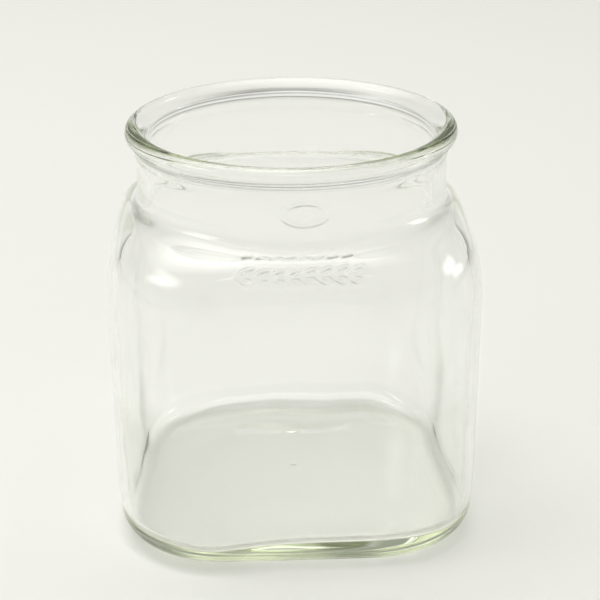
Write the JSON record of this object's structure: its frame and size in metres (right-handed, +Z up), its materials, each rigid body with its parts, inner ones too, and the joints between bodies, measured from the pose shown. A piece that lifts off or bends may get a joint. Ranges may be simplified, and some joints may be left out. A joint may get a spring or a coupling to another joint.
{
  "type": "specimen jar",
  "caption": "Open wide-mouth glass specimen jar with a square body, rounded corners and shoulder, a short round neck and a rolled bead at the mouth.",
  "frame": {"origin": "centre of the flat resting ring under the base, on the jar's axis", "axes": "+Z up through the mouth along the jar's axis; the four flat panels face +X, -X, +Y and -Y; the panel with the raised ornament faces -Y"},
  "size_m": [0.128, 0.128, 0.1416],
  "materials": {
    "clear_glass": "clear moulded glass with a faint yellow-green tint, fire-polished rim"
  },
  "bodies": {
    "root": {"glass_jar": "clear_glass"}
  },
  "joints": []
}
